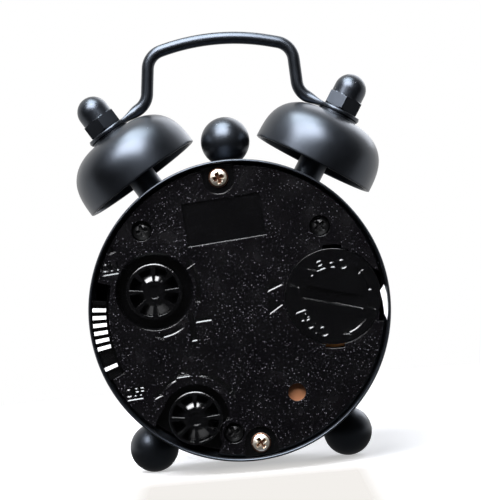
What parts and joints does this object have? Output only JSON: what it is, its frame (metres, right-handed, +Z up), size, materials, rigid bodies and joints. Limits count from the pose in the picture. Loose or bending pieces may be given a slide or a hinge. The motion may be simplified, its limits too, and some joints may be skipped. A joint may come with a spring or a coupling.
{
  "type": "twin bell alarm clock",
  "caption": "Small standing twin bell alarm clock with a wire handle, ball feet, hands behind a domed lens and a moulded back with setting knobs, an alarm switch and a battery door.",
  "frame": {"origin": "on the surface under the two ball feet, below the middle of the outline", "axes": "+Z up, the dial faces -Y, the moulded back faces +Y, +X is to the right of someone who looks at the dial"},
  "size_m": [0.0496, 0.0242, 0.0712],
  "materials": {
    "black_paint": "satin black enamel",
    "cover_abs": "spark-textured black moulding",
    "gloss_abs": "smooth black moulding",
    "nickel": "bright nickel plate",
    "black_steel": "black oxide",
    "zinc": "zinc plate",
    "clear": "polished",
    "dial_white": "matt white",
    "hand_black": "matt black",
    "hand_red": "matt red",
    "housing": "moulded",
    "gear_white": "moulded acetal",
    "spring_bronze": "rolled strip",
    "cell_steel": "nickel-plated can",
    "lamination": "stamped sheet",
    "copper_wire": "enamelled wire",
    "board": "solder mask",
    "can": "drawn can",
    "resin": "cured resin drop",
    "buzzer_brass": "rolled sheet",
    "magnet": "moulded magnet"
  },
  "bodies": {
    "clock": {"case_barrel": "black_paint", "bezel": "black_paint", "bell_left": "black_paint", "bell_right": "black_paint", "bell_posts": "black_paint", "bell_washers": "black_paint", "dome_nuts": "black_paint", "handle": "black_paint", "top_ball": "black_paint", "foot_left": "black_paint", "foot_right": "black_paint", "bell_screws": "zinc", "ball_screws": "zinc", "case_lugs": "zinc", "lens": "clear", "dial": "dial_white", "dial_ring": "dial_white", "movement_front_plate": "housing", "movement_middle_plate": "housing", "train_bridge": "housing", "movement_back_cover": "cover_abs", "coin_cell": "cell_steel", "contact_plus": "spring_bronze", "contact_minus": "spring_bronze", "alarm_leaf": "spring_bronze", "stator": "lamination", "coil_bobbin": "gear_white", "coil_winding": "copper_wire", "circuit_board": "board", "quartz_crystal": "can", "control_chip": "resin", "piezo_disc": "buzzer_brass", "case_screws": "nickel", "cover_screws": "black_steel"},
    "minutes": {"cannon_pinion": "gear_white", "minute_hand": "hand_black"},
    "hours": {"hour_wheel": "gear_white", "hour_hand": "hand_black"},
    "minute_wheel": {"minute_wheel": "gear_white"},
    "time_setting": {"time_knob": "gloss_abs", "time_setting_gear": "gear_white"},
    "alarm_time": {"alarm_wheel": "gear_white", "alarm_hand": "hand_red"},
    "alarm_idler": {"alarm_idler": "gear_white"},
    "alarm_setting": {"alarm_knob": "gloss_abs", "alarm_setting_gear": "gear_white"},
    "seconds": {"seconds_wheel": "gear_white", "second_hand": "hand_red"},
    "third": {"third_wheel": "gear_white"},
    "centre": {"centre_wheel": "gear_white"},
    "intermediate": {"intermediate_wheel": "gear_white"},
    "rotor": {"rotor": "magnet"},
    "switch": {"alarm_slider": "gloss_abs", "slider_contact": "spring_bronze"},
    "door": {"battery_door": "gloss_abs"}
  },
  "joints": [
    {"name": "minute_hand_turn", "type": "hinge", "parent": "clock", "child": "minutes", "pos_m": [0, -0.0028, 0.02584], "axis": [0, 1, 0], "continuous": true},
    {"name": "hour_hand_turn", "type": "hinge", "parent": "clock", "child": "hours", "pos_m": [0, -0.0039, 0.02584], "axis": [0, 1, 0], "continuous": true},
    {"name": "minute_wheel_turn", "type": "hinge", "parent": "clock", "child": "minute_wheel", "pos_m": [0.00573, -0.0028, 0.02761], "axis": [0, 1, 0], "continuous": true},
    {"name": "time_knob_turn", "type": "hinge", "parent": "clock", "child": "time_setting", "pos_m": [0.01325, 0.0116, 0.02994], "axis": [0, 1, 0], "continuous": true},
    {"name": "alarm_hand_turn", "type": "hinge", "parent": "clock", "child": "alarm_time", "pos_m": [0, -0.005, 0.02584], "axis": [0, 1, 0], "continuous": true},
    {"name": "alarm_idler_turn", "type": "hinge", "parent": "clock", "child": "alarm_idler", "pos_m": [0.00495, -0.005, 0.01616], "axis": [0, 1, 0], "continuous": true},
    {"name": "alarm_knob_turn", "type": "hinge", "parent": "clock", "child": "alarm_setting", "pos_m": [0.00843, 0.0116, 0.00937], "axis": [0, 1, 0], "continuous": true},
    {"name": "second_hand_turn", "type": "hinge", "parent": "clock", "child": "seconds", "pos_m": [0, 0.0017, 0.02584], "axis": [0, 1, 0], "continuous": true},
    {"name": "third_wheel_turn", "type": "hinge", "parent": "clock", "child": "third", "pos_m": [-0.00277, 0.0007, 0.03158], "axis": [0, 1, 0], "continuous": true},
    {"name": "centre_wheel_turn", "type": "hinge", "parent": "clock", "child": "centre", "pos_m": [0, -0.0017, 0.02584], "axis": [0, 1, 0], "continuous": true},
    {"name": "intermediate_turn", "type": "hinge", "parent": "clock", "child": "intermediate", "pos_m": [-0.00405, 0.0027, 0.02388], "axis": [0, 1, 0], "continuous": true},
    {"name": "rotor_turn", "type": "hinge", "parent": "clock", "child": "rotor", "pos_m": [-0.00641, 0.0007, 0.02041], "axis": [0, 1, 0], "continuous": true},
    {"name": "alarm_switch_slide", "type": "hinge", "parent": "clock", "child": "switch", "pos_m": [0, 0.0091, 0.02584], "axis": [0, -1, 0], "range_deg": [0, 6.8]},
    {"name": "battery_door_turn", "type": "hinge", "parent": "clock", "child": "door", "pos_m": [-0.01497, 0.0111, 0.02674], "axis": [0, 1, 0], "range_deg": [0, 40]}
  ],
  "couplings": [
    {"joint": "hour_hand_turn", "follows": "minute_hand_turn", "ratio": 0.083333},
    {"joint": "minute_wheel_turn", "follows": "minute_hand_turn", "ratio": -0.33333},
    {"joint": "time_knob_turn", "follows": "minute_hand_turn", "ratio": 0.44444},
    {"joint": "alarm_idler_turn", "follows": "alarm_hand_turn", "ratio": -0.85106},
    {"joint": "alarm_knob_turn", "follows": "alarm_hand_turn", "ratio": 2.8571},
    {"joint": "intermediate_turn", "follows": "rotor_turn", "ratio": -0.16667},
    {"joint": "second_hand_turn", "follows": "rotor_turn", "ratio": 0.033333},
    {"joint": "third_wheel_turn", "follows": "rotor_turn", "ratio": -0.0044444},
    {"joint": "centre_wheel_turn", "follows": "rotor_turn", "ratio": 0.00055556}
  ]
}
